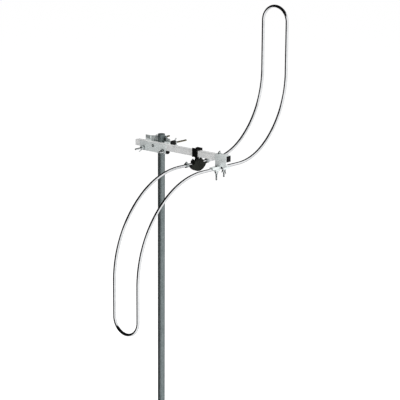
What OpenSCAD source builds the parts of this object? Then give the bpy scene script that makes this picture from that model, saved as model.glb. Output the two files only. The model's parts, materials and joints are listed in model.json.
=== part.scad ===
// Folded S dipole antenna on a mast: all lengths in millimetres.
// +X runs along the boom towards the dipole, +Y along the dipole's middle, +Z up.
// The origin is the centre of the mast's lower end.

/* [Mast] */
// Outer diameter of the mast tube
mast_d = 25; // [20:1:28]
// Wall thickness of the mast tube
mast_wall = 1.8; // [1.2:0.1:3]
// Length of the mast section
mast_len = 1070; // [600:10:2000]
// Height of the mast's top above the dipole's plane
mast_rise = 70; // [60:1:120]

/* [Boom] */
// Width and height of the square boom tube
boom_w = 20; // [18:1:20]
// Wall thickness of the boom
boom_wall = 1.5; // [1:0.1:2.5]
// Boom length in front of the fed conductor
boom_front = 141; // [136:1:200]
// Boom length behind the mast's axis
boom_back = 86; // [70:1:200]
// Height of the boom's axis above the dipole's conductors
boom_z = 34.8; // [34.8:0.1:36]

/* [Dipole] */
// Diameter of the conductor tube
tube_d = 10; // [8:0.5:10]
// Wall thickness of the conductor tube
tube_wall = 1; // [0.5:0.1:2]
// Distance between the two parallel conductors
conductor_gap = 105; // [100:1:120]
// Straight run of each half, measured from the boom's axis
straight_run = 91.5; // [88:0.5:120]
// Bend radius of the upper half next to the boom
upper_near_r = 226.8; // [150:0.1:350]
// Bend radius of the upper half farther out
upper_far_r = 295.4; // [150:0.1:400]
// Length of the upper half's straight leg
upper_leg = 172.3; // [60:0.1:300]
// Bend radius of the lower half next to the boom
lower_near_r = 290.9; // [150:0.1:350]
// Bend radius of the lower half farther out
lower_far_r = 335.9; // [150:0.1:400]
// Length of the lower half's straight leg
lower_leg = 120.4; // [60:0.1:300]

/* [Mast clamp] */
// Length of the bracket along the boom
bracket_len = 126; // [120:1:150]
// Thickness of the pressed bracket
bracket_t = 2; // [1.5:0.1:2]
// Thickness of the plate between the boom and the mast
plate_t = 3; // [2:0.1:3]
// Distance of each clamp bolt from the mast's axis
bolt_half = 46; // [46:1:50]
// Height of the toothed jaw
jaw_h = 37; // [30:1:45]
// Thickness of the jaw's plate
jaw_t = 2.5; // [2:0.1:3]
// Half of the jaw's V width
jaw_v_half = 38; // [34:0.5:38]
// Angle of the jaw's V faces
jaw_v_angle = 40; // [35:0.5:40]
// Height of the jaw's teeth
tooth_h = 1.2; // [0.6:0.1:1.5]
// Length that the left rod stands out behind the plate
left_rod_reach = 108; // [98:1:120]
// Length that the right rod stands out behind the plate
right_rod_reach = 94; // [94:1:120]
// Reach of the left stud in front of the bracket
left_stud_reach = 41; // [20:1:50]
// Reach of the right stud in front of the bracket
right_stud_reach = 19; // [19:1:50]

/* [End clamp] */
// Length of the end bracket along the boom
end_len = 48; // [46:1:48]
// Distance of each dipole bolt from the boom's axis
end_bolt_half = 19; // [18:0.5:24]
// Reach of the near dipole bolt below the conductor's axis
near_bolt_drop = 40; // [28:1:50]
// Reach of the far dipole bolt below the conductor's axis
far_bolt_drop = 35; // [28:1:50]
// Reach of the trough over the near tube end
trough_near = 46; // [40:1:60]
// Reach of the trough over the far tube end
trough_far = 28; // [28:1:60]

/* [Junction box] */
// Radius of the half-moon housing's curved floor
box_r = 41.5; // [41:0.5:43]
// Depth of the housing along the boom
box_depth = 15.2; // [15.2:0.2:17]
// Thickness of the lid
lid_t = 4; // [3:0.5:4]
// Wall thickness of the mouldings
box_wall = 2; // [1.6:0.1:2.2]

/* [Hidden] */

// Fineness of round surfaces
$fn = 64;
// Radial clearance of a piece that turns or slides on a bolt
fit_gap = 0.06;
// Clearance between pieces that are bolted together
seat_gap = 0.1;
// Length that a cutting tool runs past a face
over = 1;

mast_r = mast_d / 2;
tube_r = tube_d / 2;
boom_half = boom_w / 2;
boom_top = boom_z + boom_half;
boom_bottom = boom_z - boom_half;

// Distance from the boom's axis to the mast's axis
mast_y = 30;
// Distance from the fed conductor back to the mast's axis
mast_x = 191;
feed = [mast_x, -mast_y, mast_len - mast_rise];

// Metric bolt radii
m6_r = 3;
m5_r = 2.5;
m4_r = 2;

// Wing nut sizes: hub radius, hub height, span, height, wing thickness
m6_wing = [7, 7.5, 30, 15.5, 2.6];
m5_wing = [5.5, 4.5, 22, 8.5, 2.2];

// Mast clamp places, in the boom's frame
web_y = -boom_half - bracket_t - 4 * seat_gap;
bracket_bottom = 12;
stud_z = 21;
plate_y = boom_half + 5 * seat_gap;
plate_back = plate_y + plate_t;
plate_top = 50;
plate_half = bolt_half + 10;
jaw_z = 24;
rod_z = jaw_z + jaw_h / 2;
jaw_gap = 0.3;
jaw_face_d = mast_r + jaw_gap + tooth_h;
jaw_apex_y = mast_y + jaw_face_d / cos(jaw_v_angle);
jaw_ear_y = jaw_apex_y - jaw_v_half * tan(jaw_v_angle);
jaw_end = bolt_half + 11;
sleeve_len = 26;
sleeve_r = 7;
washer_t = 1.6;
washer_r = 8;
sleeve_y = jaw_ear_y + jaw_t + seat_gap;
jaw_washer_y = sleeve_y + sleeve_len + seat_gap;
jaw_nut_y = jaw_washer_y + washer_t + seat_gap;
front_washer_y = web_y - seat_gap - washer_t;
front_nut_y = front_washer_y - seat_gap;

// End clamp places
end_x0 = 92;
top_bolt_x = 101;
trough_w = 16;
trough_t = 2;
trough_top = tube_r + seat_gap + trough_t;
end_side_y = boom_half + 2 * seat_gap;
end_top = boom_top + seat_gap + bracket_t;
top_nut_z = end_top + seat_gap + washer_t + seat_gap;
end_saddle_z = -tube_r - 3;
end_nut_z = end_saddle_z - seat_gap;

// Junction box places
box_x0 = -8;
box_x1 = box_x0 + box_depth;
box_center_z = 16;
bowl_top = 0.2;
block_half = 22;
block_top = 11;
hinge_x = box_x1 + 2;
hinge_z = block_top + 2.6;
hinge_r = 2.3;
pin_r = 1.2;
knuckle_half = 8;
knuckle_outer = 16;
clip_x = 2;
clip_half = 11.5;
clip_wall = 4;
clip_near_top = 50;
clip_far_top = 54.5;
tower_y = 20;
tower_top = 15;
collar_y = 52;
collar_half = 5;
collar_r = 8;
spout_end = 44;

// Moves a shape from the frame of the fed conductor's middle to the part's frame
module from_feed() { translate(feed) children(); }

// Cylinder along Y from y0 to y1
module rod_y(x, z, y0, y1, r) {
    translate([x, y1, z]) rotate([90, 0, 0]) cylinder(h = y1 - y0, r = r);
}

// Cylinder along Z from z0 to z1
module rod_z_axis(x, y, z0, z1, r) {
    translate([x, y, z0]) cylinder(h = z1 - z0, r = r);
}

// Rectangle with round corners, centred
module rounded_rect(w, h, r) {
    square([w - 2 * r, h], center = true);
    square([w, h - 2 * r], center = true);
    for (x = [-1, 1], y = [-1, 1])
        translate([x * (w / 2 - r), y * (h / 2 - r)]) circle(r);
}

// Plate in the XZ plane with round corners, from y0 to y1
module plate_xz(x0, x1, z0, z1, y0, y1, r) {
    translate([(x0 + x1) / 2, y1, (z0 + z1) / 2]) rotate([90, 0, 0])
        linear_extrude(y1 - y0) rounded_rect(x1 - x0, z1 - z0, r);
}

// Flat washer on an axis along Z, standing on z = 0
module washer(r, bore, t) {
    difference() {
        cylinder(h = t, r = r);
        translate([0, 0, -over]) cylinder(h = t + 2 * over, r = bore);
    }
}

// One wing of a wing nut, in the plane that holds the nut's axis
module wing_profile(size) {
    tip = size[2] * 0.17;
    tip_x = size[2] / 2 - tip;
    tip_z = size[3] - tip;
    polygon([[0, 0.8], [size[0] * 0.95, 0.8], [tip_x + tip * 0.85, tip_z - tip * 0.53],
        [tip_x - tip * 0.75, tip_z + tip * 0.66], [size[0] * 0.7, size[1]], [0, size[1]]]);
    translate([tip_x, tip_z]) circle(tip);
}

// Wing nut on an axis along Z, seated on z = 0, wings along X
module wing_nut(size, bolt_r) {
    difference() {
        union() {
            cylinder(h = size[1] * 0.3, r = size[0]);
            translate([0, 0, size[1] * 0.3])
                cylinder(h = size[1] * 0.7, r1 = size[0] * 0.92, r2 = size[0] * 0.78);
            for (side = [0, 180])
                rotate([90, 0, side]) translate([0, 0, -size[4] / 2])
                    linear_extrude(size[4]) wing_profile(size);
        }
        translate([0, 0, -over]) cylinder(h = size[3] + 2 * over, r = bolt_r + fit_gap);
    }
}

// Places a shape whose axis is +Z so that it points along -Y from a seat at y
module facing_front(x, y, z, turn) {
    translate([x, y, z]) rotate([90, 0, 0]) rotate([0, 0, turn]) children();
}

// Places a shape whose axis is +Z so that it points along +Y from a seat at y
module facing_back(x, y, z, turn) {
    translate([x, y, z]) rotate([-90, 0, 0]) rotate([0, 0, turn]) children();
}

module mast() {
    color("slategray") difference() {
        cylinder(h = mast_len, r = mast_r);
        translate([0, 0, -over]) cylinder(h = mast_len + 2 * over, r = mast_r - mast_wall);
    }
}

module boom() {
    color("gainsboro") from_feed() difference() {
        translate([-mast_x - boom_back, -boom_half, boom_bottom])
            cube([mast_x + boom_back + boom_front, boom_w, boom_w]);
        translate([-mast_x - boom_back - over, -boom_half + boom_wall, boom_bottom + boom_wall])
            cube([mast_x + boom_back + boom_front + 2 * over, boom_w - 2 * boom_wall,
                boom_w - 2 * boom_wall]);
        rod_y(-mast_x, boom_z, -boom_half - over, boom_half + over, m6_r + fit_gap);
        rod_z_axis(top_bolt_x, 0, boom_bottom - over, boom_top + over, m5_r + fit_gap);
    }
}

// Square plug inside the boom's mouth, standing out a little
module boom_end_plug() {
    proud = 1.2;
    depth = 14;
    body = boom_w - 2 * boom_wall - 2 * seat_gap;
    rib = 1.2;
    color("black") from_feed() translate([boom_front, 0, boom_z]) difference() {
        translate([-depth, 0, 0]) rotate([90, 0, 90]) linear_extrude(depth + proud)
            rounded_rect(body, body, 0.8);
        translate([-depth - over, -body / 2 + rib, -body / 2 + rib])
            cube([depth, body - 2 * rib, body - 2 * rib]);
    }
}

module clamp_bracket() {
    x0 = -mast_x - bracket_len / 2;
    color("silver") from_feed() difference() {
        union() {
            plate_xz(x0, x0 + bracket_len, bracket_bottom, boom_top, web_y, web_y + bracket_t, 2);
            translate([x0 + 2, web_y + bracket_t - 0.5, bracket_bottom])
                cube([bracket_len - 4, 16, bracket_t]);
        }
        for (side = [-1, 1])
            rod_y(-mast_x + side * bolt_half, stud_z, web_y - over, web_y + bracket_t + over,
                m6_r + 0.3);
        rod_y(-mast_x, boom_z, web_y - over, web_y + bracket_t + over, m6_r + fit_gap);
    }
}

module boom_rivet() {
    head_r = 5;
    head_t = 1.4;
    y0 = web_y - seat_gap;
    y1 = plate_back + seat_gap;
    color("silver") from_feed() difference() {
        union() {
            rod_y(-mast_x, boom_z, y0 - head_t, y0, head_r);
            rod_y(-mast_x, boom_z, y0 - 0.5, y1 + 0.5, m6_r);
            rod_y(-mast_x, boom_z, y1, y1 + head_t, head_r);
        }
        rod_y(-mast_x, boom_z, y0 - head_t - over, y1 + head_t + over, 2.3);
    }
}

// Moulded insert under the boom, with a knob that stands out at the bracket's right end
module bracket_spacer() {
    z0 = bracket_bottom + bracket_t + seat_gap;
    z1 = boom_bottom - seat_gap;
    knob_out = 7;
    knob_w = 12.5;
    knob_r = 3;
    x0 = -mast_x - bracket_len / 2 + over;
    x1 = -mast_x + bracket_len / 2 - over;
    half = boom_half + seat_gap;
    color([0.05, 0.05, 0.05]) from_feed() difference() {
        union() {
            translate([x0, -half, z0]) cube([x1 - x0, 2 * half, z1 - z0]);
            translate([x1 + knob_out / 2, -half + knob_w / 2, z0]) linear_extrude(z1 - z0)
                rounded_rect(knob_out + 12, knob_w, knob_r);
        }
        for (side = [-1, 1])
            rod_y(-mast_x + side * bolt_half, stud_z, -boom_w, boom_w, m6_r + fit_gap);
    }
}

module clamp_plate() {
    shoulder = 32;
    color("silver") from_feed() difference() {
        plate_xz(-mast_x - plate_half, -mast_x + plate_half, bracket_bottom, plate_top,
            plate_y, plate_back, 4);
        plate_xz(-mast_x - shoulder, -mast_x + shoulder, boom_top - 2, plate_top + 10,
            plate_y - over, plate_back + over, 3);
        for (side = [-1, 1]) {
            rod_y(-mast_x + side * bolt_half, stud_z, plate_y - over, plate_back + over,
                m6_r + fit_gap);
            rod_y(-mast_x + side * bolt_half, rod_z, plate_y - over, plate_back + over,
                m6_r + fit_gap);
        }
        rod_y(-mast_x, boom_z, plate_y - over, plate_back + over, m6_r + fit_gap);
    }
}

// Two bolts whose heads sit behind the plate and whose shanks point to the front
module bracket_studs() {
    head_t = 2.4;
    reach = [left_stud_reach, right_stud_reach];
    color("lightgray") from_feed() for (i = [0, 1]) {
        x = -mast_x + (2 * i - 1) * bolt_half;
        rod_y(x, stud_z, web_y - reach[i], plate_back + seat_gap + head_t / 2, m6_r);
        translate([x, plate_back + seat_gap, stud_z]) rotate([-90, 0, 0])
            cylinder(h = head_t, r1 = 6.5, r2 = 4.5);
    }
}

module bracket_washer(side) {
    color("silver") from_feed()
        facing_front(-mast_x + side * bolt_half, front_washer_y + washer_t, stud_z, 0)
            washer(washer_r, m6_r + fit_gap, washer_t);
}

module bracket_wing_nut(side, turn) {
    color("silver") from_feed()
        facing_front(-mast_x + side * bolt_half, front_nut_y, stud_z, turn)
            wing_nut(m6_wing, m6_r);
}

module bracket_washer_left() { bracket_washer(-1); }
module bracket_washer_right() { bracket_washer(1); }
module bracket_wing_nut_left() { bracket_wing_nut(-1, 65); }
module bracket_wing_nut_right() { bracket_wing_nut(1, 12); }

// Shallow V block between the plate and the mast
module clamp_saddle() {
    half = 22;
    depth = 9;
    v_angle = 25;
    groove_y = mast_y - (mast_r + jaw_gap) / cos(v_angle);
    y0 = plate_back + seat_gap;
    teeth = 6;
    pitch = 3.6;
    color("silver") from_feed() translate([-mast_x, 0, bracket_bottom]) difference() {
        linear_extrude(boom_top - 2 - bracket_bottom) difference() {
            translate([-half, y0]) square([2 * half, depth]);
            polygon([[0, groove_y], [2 * half, groove_y + 2 * half * tan(v_angle)],
                [-2 * half, groove_y + 2 * half * tan(v_angle)]]);
            for (side = [-1, 1], i = [0 : teeth - 1]) {
                x = side * (i + 0.6) * pitch;
                y = groove_y + abs(x) * tan(v_angle);
                translate([x, y - 0.9]) rotate(45) square(1.3);
            }
        }
        rod_y(0, boom_z - bracket_bottom, y0 - over, y0 + 2, 5.6);
    }
}

module clamp_rods() {
    reach = [left_rod_reach, right_rod_reach];
    color("darkkhaki") from_feed() for (i = [0, 1])
        rod_y(-mast_x + (2 * i - 1) * bolt_half, rod_z, plate_y + seat_gap,
            plate_back + reach[i], m6_r);
}

module rod_lock_nuts() {
    nut_t = 2.4;
    nut_r = 5.8;
    color("darkkhaki") from_feed() for (side = [-1, 1])
        facing_back(-mast_x + side * bolt_half, plate_back + seat_gap, rod_z, 30)
            difference() {
                cylinder(h = nut_t, r = nut_r, $fn = 6);
                translate([0, 0, -over]) cylinder(h = nut_t + 2 * over, r = m6_r + fit_gap);
            }
}

// Point on the jaw's right V face, at a fraction of the way from the ear to the apex
function jaw_face(f) = [jaw_v_half * (1 - f), jaw_ear_y + f * (jaw_apex_y - jaw_ear_y)];

// The same point moved towards the mast by a distance
function jaw_inward(f, d) = jaw_face(f) - d * [sin(jaw_v_angle), cos(jaw_v_angle)];

// Teeth run along the mast on the middle stretch of each V face
jaw_teeth = 8;
tooth_from = 0.12;
tooth_to = 0.9;
function tooth_f(i, part) = tooth_from + (tooth_to - tooth_from) * (i + part) / jaw_teeth;
jaw_right_inner = concat([[jaw_end, jaw_ear_y], jaw_face(0)],
    [for (i = [0 : jaw_teeth - 1]) each
        [jaw_face(tooth_f(i, 0)), jaw_inward(tooth_f(i, 0.5), tooth_h)]],
    [jaw_face(tooth_f(jaw_teeth, 0)), jaw_face(1)]);
jaw_back_corner = jaw_v_half + jaw_t * tan(jaw_v_angle / 2);
jaw_right_outer = [[jaw_end, jaw_ear_y + jaw_t], [jaw_back_corner, jaw_ear_y + jaw_t],
    [0, jaw_apex_y + jaw_t / cos(jaw_v_angle)]];
function mirrored(points) = [for (i = [len(points) - 1 : -1 : 0]) [-points[i][0], points[i][1]]];

// Toothed V jaw behind the mast, bent from one plate, with a hole in each ear
module clamp_jaw() {
    inner = concat(jaw_right_inner, mirrored([for (i = [0 : len(jaw_right_inner) - 2])
        jaw_right_inner[i]]));
    outer = concat([for (i = [0, 1]) [-jaw_right_outer[i][0], jaw_right_outer[i][1]]],
        [jaw_right_outer[2], jaw_right_outer[1], jaw_right_outer[0]]);
    color("silver") from_feed() translate([-mast_x, 0, jaw_z]) difference() {
        linear_extrude(jaw_h) polygon(concat(inner, outer));
        for (side = [-1, 1])
            rod_y(side * bolt_half, jaw_h / 2, jaw_ear_y - over, jaw_ear_y + jaw_t + over,
                m6_r + fit_gap);
    }
}

module jaw_sleeves() {
    color("black") from_feed() for (side = [-1, 1])
        facing_back(-mast_x + side * bolt_half, sleeve_y, rod_z, 0)
            washer(sleeve_r, m6_r + fit_gap, sleeve_len);
}

module jaw_washers() {
    color("darkkhaki") from_feed() for (side = [-1, 1])
        facing_back(-mast_x + side * bolt_half, jaw_washer_y, rod_z, 0)
            washer(washer_r, m6_r + fit_gap, washer_t);
}

module jaw_wing_nut(side, turn) {
    color("darkkhaki") from_feed() facing_back(-mast_x + side * bolt_half, jaw_nut_y, rod_z, turn)
        wing_nut(m6_wing, m6_r);
}
module jaw_wing_nut_left() { jaw_wing_nut(-1, 80); }
module jaw_wing_nut_right() { jaw_wing_nut(1, 75); }

module ring() {
    difference() {
        circle(tube_r);
        circle(tube_r - tube_wall);
    }
}

module tube_run(length) { linear_extrude(length) ring(); }

// Quarter bend in the YZ plane about the origin, from the lowest point to the outermost
module tube_quarter(bend_r) {
    rotate([0, 90, 0]) rotate_extrude(angle = 90) translate([bend_r, 0]) ring();
}

// Everything past the plane where the two bends of a half meet.
// It leans by a 3-4-5 triangle, so the meeting points fall on round numbers.
module past_meeting() {
    far = 1000;
    rotate([atan(3 / 4), 0, 0]) translate([-far / 2, 0, -far]) cube([far, far, 2 * far]);
}

// Centre of a half's second bend, in its YZ plane
function second_centre(near_r, far_r) =
    [straight_run + 0.6 * (near_r - far_r), near_r - 0.8 * (near_r - far_r)];

// Conductor from y0 along the straight run, round the two bends and up the leg
module conductor(y0, near_r, far_r, leg) {
    c = second_centre(near_r, far_r);
    translate([0, straight_run, 0]) rotate([90, 0, 0]) tube_run(straight_run - y0);
    translate([0, straight_run, near_r]) difference() {
        tube_quarter(near_r);
        past_meeting();
    }
    translate([0, c[0], c[1]]) intersection() {
        tube_quarter(far_r);
        past_meeting();
    }
    translate([0, c[0] + far_r, c[1]]) tube_run(leg);
}

fed_end_y = 14;
joined_end_y = 6;

// Hairpin: fed conductor at x = 0, joined conductor at x = conductor_gap, round end between
module dipole_half(near_r, far_r, leg) {
    c = second_centre(near_r, far_r);
    difference() {
        union() {
            conductor(fed_end_y, near_r, far_r, leg);
            translate([conductor_gap, 0, 0]) conductor(joined_end_y, near_r, far_r, leg);
            translate([conductor_gap / 2, c[0] + far_r, c[1] + leg]) rotate([90, 0, 0])
                rotate_extrude(angle = 180) translate([conductor_gap / 2, 0]) ring();
        }
        rod_z_axis(conductor_gap, end_bolt_half, -tube_d, tube_d, m6_r + fit_gap);
    }
}

module element_upper() {
    color("whitesmoke") from_feed() dipole_half(upper_near_r, upper_far_r, upper_leg);
}

module element_lower() {
    color("whitesmoke") from_feed() rotate([180, 0, 0])
        dipole_half(lower_near_r, lower_far_r, lower_leg);
}

// Folded strap over the boom, open below
module end_bracket() {
    z0 = trough_top + seat_gap;
    leg_x = [end_x0, end_x0 + end_len];
    color("lightgray") from_feed() difference() {
        union() {
            for (side = [-1, 1])
                plate_xz(leg_x[0], leg_x[1], z0, end_top,
                    side > 0 ? end_side_y : -end_side_y - bracket_t,
                    side > 0 ? end_side_y + bracket_t : -end_side_y, 1.5);
            translate([leg_x[0], -end_side_y - bracket_t + 0.5, boom_top + seat_gap])
                cube([end_len, 2 * (end_side_y + bracket_t) - over, bracket_t]);
        }
        rod_z_axis(top_bolt_x, 0, boom_top - over, end_top + over, m5_r + fit_gap);
        rod_y(end_x0 + end_len * 0.56, boom_z - 4, -boom_w, boom_w, 1.6);
    }
}

// Inverted channel that covers the two tube ends
module end_trough() {
    x0 = conductor_gap - trough_w / 2;
    lip_z = -1.4;
    window = [-3, 19];
    side_gap = tube_r + seat_gap;
    color("lightgray") from_feed() difference() {
        translate([x0, -trough_near, lip_z])
            cube([trough_w, trough_near + trough_far, trough_top - lip_z]);
        translate([conductor_gap - side_gap, -trough_near - over, lip_z - over])
            cube([2 * side_gap, trough_near + trough_far + 2 * over, side_gap - lip_z + over]);
        translate([conductor_gap, window[0], lip_z - over])
            cube([trough_w, window[1] - window[0], 3 - lip_z + over]);
        for (side = [-1, 1])
            rod_z_axis(conductor_gap, side * end_bolt_half, 0, trough_top + over, m6_r + fit_gap);
    }
}

// Bolts that hang from the trough through the tube ends
module end_studs() {
    head_t = 3;
    drop = [near_bolt_drop, far_bolt_drop];
    color("lightgray") from_feed() for (i = [0, 1])
        translate([conductor_gap, (2 * i - 1) * end_bolt_half, 0]) {
            translate([0, 0, -drop[i]]) cylinder(h = drop[i] + trough_top + over, r = m6_r);
            translate([0, 0, trough_top + seat_gap]) cylinder(h = head_t, r1 = 6, r2 = 4.5);
        }
}

// Block with a half-round groove, drawn up against a tube end by its wing nut
module end_saddle(side, reach) {
    inner_y = 9;
    wide = 14;
    top = -1.5;
    y0 = side > 0 ? inner_y : -reach;
    color("lightgray") from_feed() translate([conductor_gap, 0, 0]) difference() {
        translate([-wide / 2, y0, end_saddle_z])
            cube([wide, reach - inner_y, top - end_saddle_z]);
        rod_y(0, 0, -reach - over, reach + over, tube_r + 0.3);
        rod_z_axis(0, side * end_bolt_half, end_saddle_z - over, tube_d, m6_r + fit_gap);
    }
}
module end_saddle_near() { end_saddle(-1, 29); }
module end_saddle_far() { end_saddle(1, 44); }

module end_wing_nut(side, turn) {
    color("silver") from_feed()
        translate([conductor_gap, side * end_bolt_half, end_nut_z]) rotate([180, 0, turn])
            wing_nut(m6_wing, m6_r);
}
module end_wing_nut_near() { end_wing_nut(-1, -62); }
module end_wing_nut_far() { end_wing_nut(1, -20); }

module top_bolt() {
    head_t = 3.5;
    tip_z = 56;
    color("lightgray") from_feed() translate([top_bolt_x, 0, 0]) {
        translate([0, 0, boom_bottom - seat_gap - head_t / 2])
            cylinder(h = tip_z - boom_bottom + head_t / 2, r = m5_r);
        translate([0, 0, boom_bottom - seat_gap - head_t]) cylinder(h = head_t, r = 4.6, $fn = 6);
    }
}

module top_washer() {
    color("silver") from_feed() translate([top_bolt_x, 0, end_top + seat_gap])
        washer(6, m5_r + fit_gap, washer_t);
}

module top_wing_nut() {
    color("silver") from_feed() translate([top_bolt_x, 0, top_nut_z]) rotate([0, 0, -60])
        wing_nut(m5_wing, m5_r);
}

// Moulded clip that snaps round the boom, with a neck down to the box
module box_clip() {
    inner = boom_half + 2 * seat_gap;
    base_t = 2;
    hook = [3, 10];
    hook_t = 3;
    neck = 8;
    x0 = clip_x - clip_half;
    tops = [clip_near_top, clip_far_top];
    color([0.06, 0.06, 0.06]) from_feed() {
        for (i = [0, 1]) {
            y0 = i > 0 ? inner : -inner - clip_wall;
            plate_xz(x0, x0 + 2 * clip_half, boom_bottom - base_t - seat_gap, tops[i],
                y0, y0 + clip_wall, 1.5);
            translate([x0 + 2, i > 0 ? inner - hook[1] : -inner - 0.5, boom_top + seat_gap])
                cube([2 * clip_half - 4, hook[i] + 0.5, hook_t]);
        }
        translate([x0, -inner - 1, boom_bottom - seat_gap - base_t])
            cube([2 * clip_half, 2 * inner + 2, base_t]);
        translate([clip_x, 0, block_top + seat_gap])
            linear_extrude(boom_bottom - base_t - block_top)
                rounded_rect(neck, neck, 2);
    }
}

// Disc with a rounded rim on one face: axis along X, from x0 to x1, rounded at x0
module rimmed_disc(x0, x1, r, round) {
    translate([x0, 0, box_center_z]) rotate([0, 90, 0]) rotate_extrude() {
        square([r - round, x1 - x0]);
        translate([0, round]) square([r, x1 - x0 - round]);
        translate([r - round, round]) circle(round);
    }
}

// Everything below a height
module below(z) { translate([-80, -80, z - 100]) cube([160, 160, 100]); }

// Half-moon housing, open at the front: a bowl, a block over it, screw towers and two spouts
module box_housing() {
    tower_r = 4;
    spout_r = 7;
    slot_r = tube_r + 0.3;
    ear = knuckle_outer - knuckle_half - 0.3;
    color([0.08, 0.09, 0.08]) from_feed() difference() {
        union() {
            intersection() {
                rimmed_disc(box_x0, box_x1, box_r, 6);
                below(bowl_top);
            }
            translate([box_x0, -block_half, -8]) cube([box_depth, 2 * block_half, block_top + 8]);
            intersection() {
                rod_y(0, 0, -spout_end, spout_end, spout_r);
                below(bowl_top);
            }
            for (side = [-1, 1]) {
                rod_z_axis(0, side * tower_y, bowl_top - 1, tower_top, tower_r);
                y0 = side > 0 ? knuckle_half + 0.3 : -knuckle_outer;
                translate([0, y0, 0]) {
                    rod_y(hinge_x, hinge_z, 0, ear, hinge_r);
                    translate([box_x1 - 4, 0, block_top + 0.3])
                        cube([hinge_x - box_x1 + 4, ear, hinge_z - block_top - 0.3]);
                    translate([box_x1 - 4, 0, block_top - 1]) cube([4, ear, 2]);
                }
            }
        }
        intersection() {
            rimmed_disc(box_x0 + box_wall, box_x1 + over, box_r - box_wall, 4);
            below(bowl_top - box_wall);
        }
        translate([box_x0 + box_wall, -block_half + box_wall, -8 - over])
            cube([box_depth, 2 * (block_half - box_wall), block_top + 8 - box_wall + over]);
        rod_y(0, 0, -spout_end - over, spout_end + over, slot_r);
        rod_y(hinge_x, hinge_z, -box_r, box_r, pin_r + fit_gap);
        for (side = [-1, 1])
            rod_z_axis(0, side * tower_y, block_top - box_wall - 2 * over, tower_top + over,
                m4_r + fit_gap);
        translate([box_x0 - over, 0, -10]) rotate([0, 90, 0])
            cylinder(h = box_wall + 2 * over, r = 5 + fit_gap);
    }
}

// Half-moon lid with a locating rim and one hinge knuckle
module box_lid() {
    rim_t = 1.5;
    rim_depth = 2.5;
    fit = 0.35;
    lid_x = box_x1 + 0.2;
    color([0.10, 0.12, 0.10]) from_feed() difference() {
        union() {
            intersection() {
                translate([2 * lid_x + lid_t, 0, 0]) mirror([1, 0, 0])
                    rimmed_disc(lid_x, lid_x + lid_t, box_r, lid_t / 2);
                below(bowl_top);
            }
            translate([lid_x, -block_half, -8]) cube([lid_t, 2 * block_half, block_top + 8]);
            intersection() {
                difference() {
                    translate([lid_x - rim_depth, 0, box_center_z]) rotate([0, 90, 0])
                        cylinder(h = rim_depth + 1, r = box_r - box_wall - fit);
                    translate([lid_x - rim_depth - over, 0, box_center_z]) rotate([0, 90, 0])
                        cylinder(h = rim_depth + over, r = box_r - box_wall - fit - rim_t);
                }
                below(-7);
            }
            rod_y(hinge_x, hinge_z, -knuckle_half, knuckle_half, hinge_r);
            translate([lid_x + 0.2, -knuckle_half, block_top - 1])
                cube([3, 2 * knuckle_half, hinge_z - block_top + 1]);
        }
        rod_y(hinge_x, hinge_z, -box_r, box_r, pin_r + fit_gap);
    }
}

module lid_pin() {
    color("silver") from_feed()
        rod_y(hinge_x, hinge_z, -knuckle_outer + 0.2, knuckle_outer - 0.2, pin_r);
}

// Screws in the two towers, heads on top
module box_screws() {
    head_t = 2.4;
    color("dimgray") from_feed() for (side = [-1, 1])
        translate([0, side * tower_y, 0]) {
            translate([0, 0, block_top - 3]) cylinder(h = tower_top - block_top + 4, r = m4_r);
            translate([0, 0, tower_top + seat_gap]) cylinder(h = head_t, r1 = 4, r2 = 3);
        }
}

// Collar round a fed tube end, with a short stud on top
module terminal_collar(side) {
    flat_z = 7;
    stud_tip = 13.2;
    color("silver") from_feed() translate([0, side * collar_y, 0]) {
        difference() {
            union() {
                rod_y(0, 0, -collar_half, collar_half, collar_r);
                translate([-5, -collar_half, 0]) cube([10, 2 * collar_half, flat_z]);
            }
            rod_y(0, 0, -collar_half - over, collar_half + over, tube_r + fit_gap);
            translate([-collar_r, -collar_half - over, flat_z])
                cube([2 * collar_r, 2 * (collar_half + over), collar_r]);
        }
        translate([0, 0, flat_z - 0.8]) cylinder(h = stud_tip - flat_z + 0.8, r = m4_r);
    }
}
module terminal_collar_left() { terminal_collar(-1); }
module terminal_collar_right() { terminal_collar(1); }

module terminal_washer(side) {
    color("silver") from_feed() translate([0, side * collar_y, 7 + seat_gap])
        washer(4.8, m4_r + fit_gap, 1);
}
module terminal_washer_left() { terminal_washer(-1); }
module terminal_washer_right() { terminal_washer(1); }

module terminal_nut(side, turn) {
    color("silver") from_feed() translate([0, side * collar_y, 8 + 2 * seat_gap])
        rotate([0, 0, turn]) difference() {
            cylinder(h = 3.2, r = 4.2, $fn = 6);
            translate([0, 0, -over]) cylinder(h = 3.2 + 2 * over, r = m4_r + fit_gap);
        }
}
module terminal_nut_left() { terminal_nut(-1, 10); }
module terminal_nut_right() { terminal_nut(1, -25); }

// Places of the board inside the housing
board_x = box_x0 + 4.5;
board_t = 1.6;
board_top = -7;

// Brass bands round the tube ends, with a tab down to the board
module feed_straps() {
    band = 4;
    y0 = fed_end_y + 0.5;
    tab_x = board_x + board_t + seat_gap;
    color("goldenrod") from_feed() for (side = [-1, 1]) {
        y = side > 0 ? y0 : -y0 - band;
        difference() {
            union() {
                rod_y(0, 0, y, y + band, tube_r + 0.86);
                translate([tab_x, y, -10]) cube([0.9, band, 5]);
            }
            rod_y(0, 0, y - over, y + band + over, tube_r + fit_gap);
        }
    }
}

module balun_board() {
    color("darkgreen") from_feed() translate([board_x, 0, 0]) rotate([90, 0, 90])
        linear_extrude(board_t) difference() {
            polygon([[-27, board_top], [-16, board_top - 12], [16, board_top - 12],
                [27, board_top]]);
            for (side = [-1, 1]) translate([side * 13, board_top - 9]) circle(1.6);
        }
}

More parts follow.
